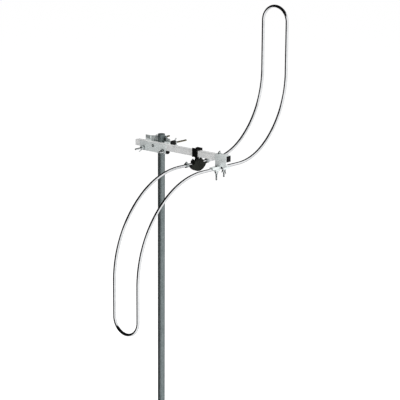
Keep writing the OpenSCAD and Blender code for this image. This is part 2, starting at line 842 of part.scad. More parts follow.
// Two-hole ferrite core of the matching transformer
module balun_core() {
    x0 = board_x + board_t + seat_gap;
    color("dimgray") from_feed() difference() {
        translate([x0, -7, board_top - 12]) cube([6, 14, 11]);
        for (side = [-1, 1]) translate([x0 - over, side * 3.4, board_top - 6.5])
            rotate([0, 90, 0]) cylinder(h = 10, r = 1.9);
    }
}

// Outlet for the cable, on the side that faces the mast
module cable_gland() {
    out = 13;
    color([0.05, 0.05, 0.05]) from_feed() translate([box_x0, 0, -10]) rotate([0, -90, 0])
        difference() {
            union() {
                translate([0, 0, seat_gap]) cylinder(h = 4, r = 8, $fn = 6);
                translate([0, 0, 4]) cylinder(h = out - 4, r1 = 6.6, r2 = 5.4);
                translate([0, 0, -box_wall - 1.2]) cylinder(h = box_wall + 1.7, r = 5);
            }
            translate([0, 0, -10]) cylinder(h = 30, r = 3.4);
        }
}

mast();
boom();
boom_end_plug();
clamp_bracket();
boom_rivet();
bracket_spacer();
clamp_plate();
bracket_studs();
bracket_washer_left();
bracket_washer_right();
bracket_wing_nut_left();
bracket_wing_nut_right();
clamp_saddle();
clamp_rods();
rod_lock_nuts();
clamp_jaw();
jaw_sleeves();
jaw_washers();
jaw_wing_nut_left();
jaw_wing_nut_right();
element_upper();
element_lower();
end_bracket();
end_trough();
end_studs();
end_saddle_near();
end_saddle_far();
end_wing_nut_near();
end_wing_nut_far();
top_bolt();
top_washer();
top_wing_nut();
box_clip();
box_housing();
box_lid();
lid_pin();
box_screws();
terminal_collar_left();
terminal_collar_right();
terminal_washer_left();
terminal_washer_right();
terminal_nut_left();
terminal_nut_right();
feed_straps();
balun_board();
balun_core();
cable_gland();
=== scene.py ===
# %% [markdown]
# # An S-bent aerial on its mast
#
# A folded dipole of bright aluminium tube is bent into an S and hangs under a short square
# boom. A moulded box feeds it, a zinc clamp holds its unbroken conductor, and a toothed clamp
# holds the boom on a galvanised mast. The solids come in as a fixed frame. This lesson gives
# each of them a finish, and models again by hand the pieces that carry the looks: the drawn
# tube, the threads and wing nuts, the mouldings, and the pressed plates and jaw.

# %% The frame
import math
import json

import bpy
from mathutils import Matrix, Vector


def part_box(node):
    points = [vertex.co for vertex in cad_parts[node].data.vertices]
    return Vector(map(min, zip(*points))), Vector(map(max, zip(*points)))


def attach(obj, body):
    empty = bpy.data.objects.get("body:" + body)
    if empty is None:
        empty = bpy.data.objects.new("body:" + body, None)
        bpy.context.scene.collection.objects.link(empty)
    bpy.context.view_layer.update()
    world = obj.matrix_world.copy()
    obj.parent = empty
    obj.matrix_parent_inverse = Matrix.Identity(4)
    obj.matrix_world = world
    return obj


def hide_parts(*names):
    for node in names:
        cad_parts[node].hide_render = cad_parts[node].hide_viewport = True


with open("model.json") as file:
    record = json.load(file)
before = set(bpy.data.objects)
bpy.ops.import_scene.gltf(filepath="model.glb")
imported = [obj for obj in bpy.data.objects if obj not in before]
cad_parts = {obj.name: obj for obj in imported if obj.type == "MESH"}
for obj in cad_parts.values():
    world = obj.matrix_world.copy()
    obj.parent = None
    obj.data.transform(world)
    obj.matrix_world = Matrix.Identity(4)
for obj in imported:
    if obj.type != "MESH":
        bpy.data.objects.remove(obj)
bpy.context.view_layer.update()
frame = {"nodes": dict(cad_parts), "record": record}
nodes = frame["nodes"]
print("solids loaded:", len(nodes))

# %% [markdown]
# ## Camera
#
# The photograph was taken from in front and to the right, a little above the boom, through a
# long lens. The numbers come from a fit of the two parallel conductors, the boom and the mast.
# FEED is the middle of the conductor that the box feeds, and the pieces made by hand are
# measured from it.

# %% Camera
FEED = Vector((0.191, -0.030, 1.0))
AZIMUTH, ELEVATION, ROLL = math.radians(41.350), math.radians(13.940), math.radians(0.378)
AIM = Vector((0.2199, -0.0448, 0.8784))
DISTANCE = 5.25
LENS_MM, FILM_MM = 139.4, 36

back = Vector((math.sin(AZIMUTH) * math.cos(ELEVATION),
               -math.cos(AZIMUTH) * math.cos(ELEVATION), math.sin(ELEVATION)))
right = Vector((math.cos(AZIMUTH), math.sin(AZIMUTH), 0.0))
up = back.cross(right)
turned_right = math.cos(ROLL) * right + math.sin(ROLL) * up
turned_up = -math.sin(ROLL) * right + math.cos(ROLL) * up

camera = bpy.data.objects.new("camera", bpy.data.cameras.new("camera"))
bpy.context.scene.collection.objects.link(camera)
camera.matrix_world = Matrix((
    (turned_right.x, turned_up.x, back.x, AIM.x + back.x * DISTANCE),
    (turned_right.y, turned_up.y, back.y, AIM.y + back.y * DISTANCE),
    (turned_right.z, turned_up.z, back.z, AIM.z + back.z * DISTANCE),
    (0, 0, 0, 1)))
camera.data.lens = LENS_MM
camera.data.sensor_width = FILM_MM
bpy.context.scene.camera = camera
print("camera at", [round(c, 3) for c in camera.location])

# %% [markdown]
# ## Studio
#
# The photograph is a cut-out on white. Only what the camera, a mirror surface or a clear one
# sees of the room is made white, so the light on the aerial can be set without touching the
# background.

# %% World
def add_node(tree, kind, **settings):
    made = tree.nodes.new("ShaderNode" + kind)
    for key, value in settings.items():
        setattr(made, key, value)
    return made


def ramp(tree, value, low, high, to_low=0.0, to_high=1.0):
    """Maps low..high to to_low..to_high, cut off at both ends."""
    made = add_node(tree, "MapRange")
    for label, number in (("From Min", low), ("From Max", high),
                          ("To Min", to_low), ("To Max", to_high)):
        made.inputs[label].default_value = number
    tree.links.new(value, made.inputs["Value"])
    return made.outputs["Result"]


def seen_directly(tree):
    """1 for camera, glossy and transmission rays, else 0."""
    path = add_node(tree, "LightPath")
    first = add_node(tree, "Math", operation="MAXIMUM")
    second = add_node(tree, "Math", operation="MAXIMUM")
    tree.links.new(path.outputs["Is Camera Ray"], first.inputs[0])
    tree.links.new(path.outputs["Is Glossy Ray"], first.inputs[1])
    tree.links.new(first.outputs[0], second.inputs[0])
    tree.links.new(path.outputs["Is Transmission Ray"], second.inputs[1])
    return second.outputs[0]


ROOM_LIGHT = 0.62
world = bpy.data.worlds.new("studio")
bpy.context.scene.world = world
world.use_nodes = True
tree = world.node_tree
tree.nodes["Background"].inputs["Color"].default_value = (1, 1, 1, 1)
tree.links.new(ramp(tree, seen_directly(tree), 0, 1, ROOM_LIGHT, 1),
               tree.nodes["Background"].inputs["Strength"])
print("room light", ROOM_LIGHT)

# %% [markdown]
# The floor is a plain sheet of pale paper. Its matt part takes the aerial's shadow, and a glow
# that only direct looks see lifts it to the white of the background. Mirror rays pass it, so
# that the tubes show the cards round the set and not a horizon.

# %% Floor
FLOOR_SIZE, FLOOR_GREY, FLOOR_GLOW = 60, 0.86, 0.46
bpy.ops.object.select_all(action="DESELECT")
bpy.ops.mesh.primitive_plane_add(size=FLOOR_SIZE, location=(0, 0, 0))
floor = bpy.context.object
floor.name = "floor"
paper = bpy.data.materials.new("paper_floor")
paper.use_nodes = True
tree = paper.node_tree
tree.nodes.clear()
out = add_node(tree, "OutputMaterial")
both = add_node(tree, "AddShader")
matt = add_node(tree, "BsdfDiffuse")
matt.inputs["Color"].default_value = (FLOOR_GREY, FLOOR_GREY, FLOOR_GREY, 1)
glow = add_node(tree, "Emission")
tree.links.new(seen_directly(tree), glow.inputs["Strength"])
glow.inputs["Color"].default_value = (FLOOR_GLOW, FLOOR_GLOW, FLOOR_GLOW, 1)
tree.links.new(matt.outputs[0], both.inputs[0])
tree.links.new(glow.outputs[0], both.inputs[1])
tree.links.new(both.outputs[0], out.inputs["Surface"])
floor.data.materials.append(paper)
floor.visible_glossy = False
bpy.context.scene.view_settings.view_transform = "Standard"
print("floor laid,", FLOOR_SIZE, "m wide")

# %% [markdown]
# Two round soft lamps light the aerial: a key from above on the right and a weak fill from the
# left. Their discs would break the dark line along the tubes, so mirror rays pass them as well.

# %% Lamps
flat_back = Vector((math.sin(AZIMUTH), -math.cos(AZIMUTH), 0))


def toward(direction_right, direction_up, direction_back, distance):
    """A point round the boom, given along the photograph's own right, up and back."""
    way = right * direction_right + Vector((0, 0, 1)) * direction_up + flat_back * direction_back
    return AIM + way.normalized() * distance


def lamp(name, place, size, power):
    data = bpy.data.lights.new(name, "AREA")
    data.shape = "DISK"
    data.size = size
    data.energy = power
    made = bpy.data.objects.new(name, data)
    bpy.context.scene.collection.objects.link(made)
    made.location = place
    made.rotation_euler = (AIM - place).to_track_quat("-Z", "Y").to_euler()
    made.visible_glossy = False
    print(name, "lamp of", power, "W at", [round(c, 2) for c in place])


lamp("key", toward(0.75, 0.95, 0.75, 3.2), 1.6, 75)
lamp("fill", toward(-1.0, 0.5, 1.0, 3.4), 2.2, 22)

# %% [markdown]
# Polished tube on white needs something dark to reflect. A photographer hangs a black card
# above and to the left of the set and a grey one below it to the right: the tube then shows a
# dark line on its upper left and a grey one on its lower right. Both cards are parts of a
# sphere round the set. Only mirror rays see them, so they draw their lines and take no light
# away, and they stay where they are when the aerial is looked at from elsewhere.

# %% Black card and grey card
CARD_RADIUS = 5.0
BLACK, GREY = 0.006, 0.46
WHITE_ROUND_LENS = 18  # degrees
BLACK_FROM, BLACK_TO = 42, 232  # degrees round the lens axis, from the right
GREY_BEHIND, GREY_FROM = 112, 262


def angles_of(face):
    """A patch's angle from the lens, and its angle round the lens axis from the right."""
    way = (face.center - AIM).normalized()
    from_lens = math.degrees(math.acos(max(-1, min(1, way.dot(back)))))
    return from_lens, math.degrees(math.atan2(way.dot(up), way.dot(right))) % 360


def card(name, grey, wanted):
    """The wanted part of a sphere round the aerial, seen by mirror rays only."""
    bpy.ops.object.select_all(action="DESELECT")
    bpy.ops.mesh.primitive_uv_sphere_add(segments=72, ring_count=48, radius=CARD_RADIUS,
                                         location=AIM)
    made = bpy.context.object
    made.name = name
    bpy.ops.object.transform_apply(location=True, rotation=True, scale=True)
    bpy.ops.object.mode_set(mode="EDIT")
    bpy.ops.mesh.select_mode(type="FACE")
    bpy.ops.mesh.select_all(action="DESELECT")
    bpy.ops.object.mode_set(mode="OBJECT")
    for face in made.data.polygons:
        face.select = not wanted(*angles_of(face))
    bpy.ops.object.mode_set(mode="EDIT")
    bpy.ops.mesh.delete(type="FACE")
    bpy.ops.object.mode_set(mode="OBJECT")
    look = bpy.data.materials.new(name)
    look.use_nodes = True
    look.node_tree.nodes.clear()
    shine = add_node(look.node_tree, "Emission")
    shine.inputs["Color"].default_value = (grey, grey, grey * 1.03, 1)
    end = add_node(look.node_tree, "OutputMaterial")
    look.node_tree.links.new(shine.outputs[0], end.inputs["Surface"])
    made.data.materials.append(look)
    for sees in ("visible_camera", "visible_diffuse", "visible_shadow", "visible_transmission"):
        setattr(made, sees, False)
    print(name, "has", len(made.data.polygons), "patches")


card("black_card", BLACK,
     lambda lens, around: lens > WHITE_ROUND_LENS and BLACK_FROM < around < BLACK_TO)
card("grey_card", GREY,
     lambda lens, around: lens > GREY_BEHIND and (around > GREY_FROM or around < BLACK_FROM))

# %% [markdown]
# ## Effects that several finishes share
#
# Each effect is a node group with its own inputs, so that one idea, such as lengthwise drawing
# marks or frost-like zinc crystals, is tuned once per material. A group only puts out masks,
# heights and normals; the shader and its constant values stay in the material.

# %% Small helpers for groups
def new_group(name, inputs, outputs):
    group = bpy.data.node_groups.new(name, "ShaderNodeTree")
    for label, kind, value in inputs:
        socket = group.interface.new_socket(label, in_out="INPUT", socket_type="NodeSocket" + kind)
        socket.default_value = value
    for label, kind in outputs:
        group.interface.new_socket(label, in_out="OUTPUT", socket_type="NodeSocket" + kind)
    ins = group.nodes.new("NodeGroupInput")
    outs = group.nodes.new("NodeGroupOutput")
    return group, ins, outs


def noise(group, vector, scale, detail, roughness=0.55):
    made = add_node(group, "TexNoise")
    made.inputs["Scale"].default_value = scale
    made.inputs["Detail"].default_value = detail
    made.inputs["Roughness"].default_value = roughness
    group.links.new(vector, made.inputs["Vector"])
    return made.outputs["Fac"]


def clouds(group, ins, scale, detail, low, high, roughness=0.55):
    """Noise at the group's Place, spread over 0 to 1."""
    return ramp(group, noise(group, ins.outputs["Place"], scale, detail, roughness), low, high)


# %% Drawing marks: streaks along one direction
marks, ins, outs = new_group(
    "drawing_marks",
    [("Place", "Vector", (0, 0, 0)), ("Stretch", "Vector", (1, 1, 1)), ("Size", "Float", 1.0)],
    [("Streaks", "Float"), ("Blotches", "Float"), ("Height", "Float")])
pulled = add_node(marks, "VectorMath", operation="MULTIPLY")
marks.links.new(ins.outputs["Place"], pulled.inputs[0])
marks.links.new(ins.outputs["Stretch"], pulled.inputs[1])
sized = add_node(marks, "VectorMath", operation="SCALE")
marks.links.new(pulled.outputs[0], sized.inputs[0])
marks.links.new(ins.outputs["Size"], sized.inputs["Scale"])
fine = noise(marks, sized.outputs[0], 1.0, 8, 0.65)
marks.links.new(ramp(marks, fine, 0.3, 0.7), outs.inputs["Streaks"])
marks.links.new(fine, outs.inputs["Height"])
marks.links.new(clouds(marks, ins, 45, 4, 0.35, 0.65), outs.inputs["Blotches"])
print("group:", marks.name)

# %% Zinc crystals: angular patches, each a little lighter or darker
crystals, ins, outs = new_group(
    "zinc_crystals",
    [("Place", "Vector", (0, 0, 0)), ("Size", "Float", 300.0)],
    [("Patches", "Float"), ("Cloud", "Float"), ("Height", "Float")])
warp = add_node(crystals, "TexNoise")
warp.inputs["Scale"].default_value = 130
crystals.links.new(ins.outputs["Place"], warp.inputs["Vector"])
bent = add_node(crystals, "VectorMath", operation="MULTIPLY_ADD")
crystals.links.new(warp.outputs["Color"], bent.inputs[0])
bent.inputs[1].default_value = (0.004, 0.004, 0.004)
crystals.links.new(ins.outputs["Place"], bent.inputs[2])
cells = add_node(crystals, "TexVoronoi")
crystals.links.new(bent.outputs[0], cells.inputs["Vector"])
crystals.links.new(ins.outputs["Size"], cells.inputs["Scale"])
split = add_node(crystals, "SeparateColor")
crystals.links.new(cells.outputs["Color"], split.inputs[0])
crystals.links.new(split.outputs[0], outs.inputs["Patches"])
crystals.links.new(clouds(crystals, ins, 60, 5, 0.3, 0.7), outs.inputs["Cloud"])
crystals.links.new(cells.outputs["Distance"], outs.inputs["Height"])
print("group:", crystals.name)

# %% Moulded skin: the fine grain of a spark-eroded mould
skin, ins, outs = new_group(
    "moulded_skin",
    [("Place", "Vector", (0, 0, 0)), ("Grain", "Float", 2600.0)],
    [("Height", "Float"), ("Sheen patches", "Float")])
grain = add_node(skin, "TexNoise")
grain.inputs["Detail"].default_value = 3
skin.links.new(ins.outputs["Place"], grain.inputs["Vector"])
skin.links.new(ins.outputs["Grain"], grain.inputs["Scale"])
skin.links.new(grain.outputs["Fac"], outs.inputs["Height"])
skin.links.new(clouds(skin, ins, 90, 4, 0.35, 0.65), outs.inputs["Sheen patches"])
print("group:", skin.name)

# %% Rubbed and shaded edges: a rounded normal, and a mask where the surface turns sharply, which the finishes use for wear and for painted shade along edges
edges, ins, outs = new_group(
    "rubbed_and_shaded_edges",
    [("Radius", "Float", 0.0005), ("Place", "Vector", (0, 0, 0))],
    [("Normal", "Vector"), ("Edge", "Float")])
soft = add_node(edges, "Bevel", samples=4)
edges.links.new(ins.outputs["Radius"], soft.inputs["Radius"])
plain = add_node(edges, "NewGeometry")
turn = add_node(edges, "VectorMath", operation="DOT_PRODUCT")
edges.links.new(soft.outputs[0], turn.inputs[0])
edges.links.new(plain.outputs["Normal"], turn.inputs[1])
edge_mask = add_node(edges, "Math", operation="MULTIPLY")
TURN_LEAST, TURN_FULL = 0.99, 0.85  # cosines between the real and the rounded normal
edges.links.new(ramp(edges, turn.outputs["Value"], TURN_LEAST, TURN_FULL), edge_mask.inputs[0])
edges.links.new(clouds(edges, ins, 500, 4, 0.35, 0.6), edge_mask.inputs[1])
edges.links.new(soft.outputs[0], outs.inputs["Normal"])
edges.links.new(edge_mask.outputs[0], outs.inputs["Edge"])
print("group:", edges.name)

# %% Settled dust: a thin pale film on what faces up
dust, ins, outs = new_group("settled_dust", [("Place", "Vector", (0, 0, 0))], [("Dust", "Float")])
lie = add_node(dust, "NewGeometry")
split = add_node(dust, "SeparateXYZ")
dust.links.new(lie.outputs["Normal"], split.inputs[0])
film = add_node(dust, "Math", operation="MULTIPLY")
dust.links.new(ramp(dust, split.outputs["Z"], 0.3, 1.0), film.inputs[0])
dust.links.new(clouds(dust, ins, 240, 6, 0.3, 0.75, 0.7), film.inputs[1])
dust.links.new(film.outputs[0], outs.inputs["Dust"])
print("group:", dust.name)

# %% [markdown]
# ## Finishes
#
# Bare metals differ mostly in how sharp and how even their reflections are, so each gets a
# pair of colours, a range of roughness and a shallow height from its own group; boom and
# plates also get a darker edge colour, a painted shade. Mouldings are nearly black: their
# grain, the paler worn edges and the dust on top tell them apart; on the lid the edges are
# painted darker instead, as painted shade.

# %% One material while it is being wired
class Finish:
    def __init__(self, name, metallic, place="Object"):
        self.material = bpy.data.materials.new(name)
        self.material.use_nodes = True
        self.tree = self.material.node_tree
        self.shader = self.tree.nodes["Principled BSDF"]
        self.shader.inputs["Metallic"].default_value = metallic
        if place == "Object":
            self.place = add_node(self.tree, "TexCoord").outputs["Object"]
        else:
            self.place = add_node(self.tree, "Attribute", attribute_name=place).outputs["Vector"]

    def group(self, group, **values):
        made = add_node(self.tree, "Group", node_tree=group)
        self.tree.links.new(self.place, made.inputs["Place"])
        for label, value in values.items():
            made.inputs[label].default_value = value
        return made.outputs

    def mix(self, amount, one, two):
        """Mixes two colours, each a tuple or a socket, by a socket."""
        made = add_node(self.tree, "Mix", data_type="RGBA")
        self.tree.links.new(amount, made.inputs[0])
        for slot_number, colour in ((6, one), (7, two)):
            if isinstance(colour, tuple):
                made.inputs[slot_number].default_value = (*colour, 1)
            else:
                self.tree.links.new(colour, made.inputs[slot_number])
        return made.outputs[2]

    def times(self, one, factor):
        made = add_node(self.tree, "Math", operation="MULTIPLY")
        self.tree.links.new(one, made.inputs[0])
        made.inputs[1].default_value = factor
        return made.outputs[0]

    def colour(self, socket):
        self.tree.links.new(socket, self.shader.inputs["Base Color"])

    def roughness(self, value, low, high):
        self.tree.links.new(ramp(self.tree, value, 0, 1, low, high),
                            self.shader.inputs["Roughness"])

    def bump(self, height, strength, distance, normal=None):
        made = add_node(self.tree, "Bump")
        made.inputs["Strength"].default_value = strength
        made.inputs["Distance"].default_value = distance
        self.tree.links.new(height, made.inputs["Height"])
        if normal is not None:
            self.tree.links.new(normal, made.inputs["Normal"])
        self.tree.links.new(made.outputs[0], self.shader.inputs["Normal"])


# %% [markdown]
# There are three kinds: drawn or extruded metal with streaks, plated or cast metal with
# crystals, and mouldings. Each is a recipe with defaults, so that a finish below is only a row
# of numbers. Relief is in metres and never more than a tenth of a millimetre, as on a plating.

# %% Three kinds of finish
STREAK_RELIEF, CRYSTAL_RELIEF, GRAIN_RELIEF = 0.00008, 0.0001, 0.00006
DUST_ON_METAL, METAL_DUST, BLACK_DUST = 0.12, (0.5, 0.48, 0.44), (0.30, 0.29, 0.27)
# The first number sets how strongly the boom's edges take a painted dark line of shade; the second
# how strongly moulding edges take paler wear, and on the lid a darker painted shade.
EDGE_SHADE_MIX, RUB_AND_SHADE = 2.4, 0.6  # how strongly an edge takes its other colour


def streaked_metal(name, dark, light, rough, stretch, size, height=0.25, place="Object",
                   edge=0.0004, metallic=1.0, edge_shade=(0.2, 0.22, 0.22)):
    made = Finish(name, metallic, place)
    streaks = made.group(marks, Stretch=stretch, Size=size)
    body = made.mix(streaks["Blotches"], dark, light)
    made.roughness(streaks["Streaks"], *rough)
    normal = None
    if edge:
        rim = made.group(edges, Radius=edge)
        # Painted shade: the edges take a darker colour, a painted dark line along them.
        body = made.mix(made.times(rim["Edge"], EDGE_SHADE_MIX), body, edge_shade)
        normal = rim["Normal"]
    made.colour(body)
    made.bump(streaks["Height"], height, STREAK_RELIEF, normal)
    return made.material


def crystal_metal(name, dark, light, rough, size, edge_rub_and_shade, height=0.12, edge=0.0005,
                  metallic=1.0):
    made = Finish(name, metallic)
    frost = made.group(crystals, Size=size)
    body = made.mix(frost["Patches"], dark, light)
    rim = made.group(edges, Radius=edge)
    film = made.group(dust)
    # Edge colour: pale wear on fasteners, nuts, rods and brass; on the zinc plates a darker
    # colour, which is painted shade.
    rubbed_and_shaded = made.mix(rim["Edge"], body, edge_rub_and_shade)
    made.colour(made.mix(made.times(film["Dust"], DUST_ON_METAL), rubbed_and_shaded, METAL_DUST))
    made.roughness(frost["Cloud"], *rough)
    made.bump(frost["Height"], height, CRYSTAL_RELIEF, rim["Normal"])
    return made.material


def moulding(name, dark, light, rough, grain=2600.0, dusty=0.10, height=0.35, gloss=0.3,
             edge=0.0005):
    made = Finish(name, 0.0)
    made.shader.inputs["Specular IOR Level"].default_value = gloss
    face = made.group(skin, Grain=grain)
    rim = made.group(edges, Radius=edge)
    film = made.group(dust)
    # Edges take the second colour: paler wear on most mouldings, a darker painted shade on the
    # lid.
    rubbed_and_shaded = made.mix(made.times(rim["Edge"], RUB_AND_SHADE), dark, light)
    made.colour(made.mix(made.times(film["Dust"], dusty), rubbed_and_shaded, BLACK_DUST))
    made.roughness(face["Sheen patches"], *rough)
    made.bump(face["Height"], height, GRAIN_RELIEF, rim["Normal"])
    return made.material


# %% [markdown]
# The tube is bright drawn aluminium, so its reflections are sharp. The photograph shows boom
# and plates evenly pale, so they are only partly metallic, with a painted dark line of shade
# along their edges; the jaw is of the same plate, more metallic and shinier, with its colours
# painted darker as painted shade. The rods are yellow-passivated, and the black mouldings
# have a weak gloss; the lid's face is painted lighter as a painted reflection and its edges
# darker as painted shade.

# %% The finishes of this aerial
ALONG_BOOM, ALONG_TUBE = (6.0, 900.0, 900.0), (10.0, 2600.0, 2600.0)
finishes = {
    "aluminium_tube": streaked_metal(
        "drawn_tube", (0.78, 0.79, 0.80), (0.90, 0.91, 0.92), (0.03, 0.10), ALONG_TUBE, 1.0,
        0.04, place="tube_place", edge=0),
    # The boom's darker edge colour is painted shade along its edges.
    "aluminium_boom": streaked_metal(
        "extruded_boom", (0.80, 0.81, 0.81), (0.92, 0.92, 0.91), (0.30, 0.45), ALONG_BOOM, 1.0,
        0.2, edge=0.0022, metallic=0.25),
    # The zinc plate's dark edge colour is painted shade along its edges.
    "zinc_plate": crystal_metal(
        "zinc_plate", (0.66, 0.71, 0.71), (0.86, 0.90, 0.89), (0.26, 0.48), 700.0,
        (0.22, 0.25, 0.25), edge=0.0009, metallic=0.3),
    # The jaw's copy of the zinc plate is more metallic and smoother, and its colours and edges are
    # painted darker, as painted shade.
    "shaded_bright_zinc_plate": crystal_metal(
        "shaded_bright_zinc_plate", (0.50, 0.55, 0.55), (0.84, 0.88, 0.87), (0.16, 0.30), 700.0,
        (0.12, 0.14, 0.14), edge=0.0011, metallic=0.6),
    "zinc_fasteners": crystal_metal(
        "zinc_fastener", (0.34, 0.37, 0.37), (0.60, 0.63, 0.63), (0.20, 0.40), 2200.0,
        (0.88, 0.89, 0.90), height=0.08, edge=0.0002),
    "die_cast_nut": crystal_metal(
        "cast_wing_nut", (0.54, 0.57, 0.57), (0.74, 0.77, 0.77), (0.24, 0.42), 1500.0,
        (0.90, 0.91, 0.92), height=0.2, edge=0.0003),
    "yellow_zinc": crystal_metal(
        "yellow_passivated_zinc", (0.13, 0.115, 0.065), (0.27, 0.24, 0.15), (0.24, 0.45), 1400.0,
        (0.42, 0.38, 0.27), height=0.08, edge=0.0002),
    "black_plastic": moulding(
        "black_moulding", (0.004, 0.004, 0.0042), (0.03, 0.03, 0.03), (0.34, 0.50), gloss=0.12),
    "housing_plastic": moulding(
        "housing_moulding", (0.003, 0.004, 0.0035), (0.02, 0.025, 0.02), (0.36, 0.52), gloss=0.12),
    # Lid: its face colour is painted lighter, a painted reflection, and its broad edge band
    # darker, a painted shade.
    "lid_plastic": moulding(
        "lid_moulding", (0.009, 0.011, 0.008), (0.002, 0.002, 0.002), (0.30, 0.45), gloss=0.12,
        edge=0.004),
    "brass_strap": crystal_metal(
        "brass_strip", (0.66, 0.46, 0.18), (0.80, 0.60, 0.30), (0.22, 0.40), 1600.0,
        (0.90, 0.72, 0.42), height=0.05, edge=0.0002),
    "circuit_board": moulding(
        "lacquered_board", (0.010, 0.090, 0.035), (0.10, 0.25, 0.12), (0.18, 0.30), grain=1800.0,
        dusty=0.05, height=0.15),
    "ferrite": moulding(
        "sintered_ferrite", (0.045, 0.045, 0.050), (0.14, 0.14, 0.14), (0.45, 0.70), grain=3800.0,
        dusty=0.05, height=0.6),
}
print("finishes:", ", ".join(finishes))

# %% [markdown]
# The mast is hot-dip galvanised and has stood outside: frost-like crystals, long run marks
# down the tube and a dull grey bloom. So it takes both the crystal and the drawing groups.

# %% Galvanised mast
galvanised = Finish("galvanised_mast", 0.85)
frost = galvanised.group(crystals, Size=420.0)
runs = galvanised.group(marks, Stretch=(420.0, 420.0, 14.0), Size=1.0)
spots = galvanised.group(marks, Stretch=(220.0, 220.0, 60.0), Size=1.0)
zinc = galvanised.mix(frost["Patches"], (0.11, 0.145, 0.148), (0.24, 0.285, 0.29))
run_down = galvanised.mix(galvanised.times(runs["Streaks"], 0.6), zinc, (0.40, 0.44, 0.44))
galvanised.colour(galvanised.mix(galvanised.times(spots["Streaks"], 0.35), run_down,
                                 (0.05, 0.07, 0.07)))
galvanised.roughness(runs["Streaks"], 0.34, 0.58)
galvanised.bump(frost["Height"], 0.15, CRYSTAL_RELIEF,
                galvanised.group(edges, Radius=0.0005)["Normal"])
finishes["galvanised_steel"] = galvanised.material
print("finish:", galvanised.material.name)

# %% [markdown]
# Every solid names the slot that its finish comes from, so the finishes are laid on by rule.

# %% Finishes on the solids
slot_of = {part["node"]: part["material_slot"] for part in frame["record"]["subparts"]}
for name, obj in nodes.items():
    obj.data.materials.clear()
    obj.data.materials.append(finishes[slot_of[name]])
print("finishes:", len(finishes), "on", len(nodes), "nodes")

# %% [markdown]
# ## Hand tools
#
# A few helpers stand in for the hand that clicks: one goes into edit mode on a piece, one
# selects faces or points by where they are, and one closes a finished piece, with its normals
# turned outwards, its material and the body that it rides on. All lengths are in millimetres.

# %% Hand tools
MM = 0.001


def edit(piece):
    bpy.ops.object.select_all(action="DESELECT")
    piece.select_set(True)
    bpy.context.view_layer.objects.active = piece
    bpy.ops.object.mode_set(mode="EDIT")
    bpy.ops.mesh.select_mode(type="VERT")


def leave():
    bpy.ops.object.mode_set(mode="OBJECT")


def everything():
    """In edit mode: selects the whole piece."""
    bpy.ops.mesh.select_all(action="SELECT")


def pick(piece, kind, test):
    """In edit mode: selects the faces or vertices that pass a test, and returns how many."""
    bpy.ops.mesh.select_mode(type={"polygons": "FACE", "vertices": "VERT"}[kind])
    bpy.ops.mesh.select_all(action="DESELECT")
    leave()
    chosen = [part for part in getattr(piece.data, kind) if test(part)]
    for part in chosen:
        part.select = True
    bpy.ops.object.mode_set(mode="EDIT")
    return len(chosen)


def push(x, y, z):
    """Extrudes what is selected and moves it, in millimetres."""
    bpy.ops.mesh.extrude_region_move(TRANSFORM_OT_translate={"value": (x * MM, y * MM, z * MM)})


def grow(x, y, z):
    bpy.ops.transform.resize(value=(x, y, z))


def use_modifier(piece, kind, **settings):
    made = piece.modifiers.new(kind.lower(), kind)
    for key, value in settings.items():
        setattr(made, key, value)
    bpy.context.view_layer.objects.active = piece
    bpy.ops.object.modifier_apply(modifier=made.name)


def fresh(name, add, **settings):
    """Adds a primitive and applies its turn, so that its mesh holds its place."""
    bpy.ops.object.select_all(action="DESELECT")
    add(**settings)
    made = bpy.context.object
    made.name = name
    bpy.ops.object.transform_apply(location=True, rotation=True, scale=True)
    return made


def copy_of(piece, name, matrix):
    made = piece.copy()
    made.data = piece.data.copy()
    made.name = name
    bpy.context.scene.collection.objects.link(made)
    made.data.transform(matrix)
    return made


def joined(name, parts):
    bpy.ops.object.select_all(action="DESELECT")
    for part in parts:
        part.select_set(True)
    bpy.context.view_layer.objects.active = parts[0]
    bpy.ops.object.join()
    parts[0].name = name
    return parts[0]


def complete(piece, body, slot, *replaced, smooth=35, finish=None):
    """Closes a piece; its finish is its slot's own where none is named."""
    edit(piece)
    everything()
    bpy.ops.mesh.remove_doubles(threshold=1e-6)
    bpy.ops.mesh.normals_make_consistent(inside=False)
    leave()
    bpy.ops.object.shade_smooth_by_angle(angle=math.radians(smooth))
    piece.data.materials.clear()
    piece.data.materials.append(finishes[finish or slot])
    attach(piece, body)
    if replaced:
        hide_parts(*replaced)
    print(piece.name, "has", len(piece.data.polygons), "faces and rides on", body)


def turned(*turns):
    """One matrix for turns that are each (degrees, axis)."""
    matrix = Matrix.Identity(4)
    for degrees, axis in turns:
        matrix = matrix @ Matrix.Rotation(math.radians(degrees), 4, axis)
    return matrix


def at(x, y, z):
    """A point counted from FEED."""
    return FEED + Vector((x, y, z)) * MM


def place(x, y, z, *turns):
    """Turns a piece and moves it to a point counted from FEED."""
    return Matrix.Translation(at(x, y, z)) @ turned(*turns)


# %% [markdown]
# ## The dipole's halves
#
# Each half is one length of thin tube, drawn, then bent twice in one plane and turned back on
# itself in a round end. A ring of edges is extruded along the straights and spun round each
# bend's centre, as the real tube goes round its former. Solidify gives the wall.

# %% Hairpin tube
TUBE_R, TUBE_WALL, GAP, STRAIGHT = 5.0, 1.0, 105.0, 91.5
FED_END, JOINED_END = 14.0, 6.0
RING = 32
STEPS_FIRST, STEPS_SECOND, STEPS_END = 24, 40, 48
FIRST_BEND = math.atan2(3, 4)
SECOND_BEND = math.pi / 2 - FIRST_BEND


def spin(angle, steps, centre, axis):
    """Spins the last ring; the operator counts its angle the other way round."""
    bpy.ops.mesh.spin(steps=steps, angle=-angle, center=Vector(centre) * MM, axis=axis)


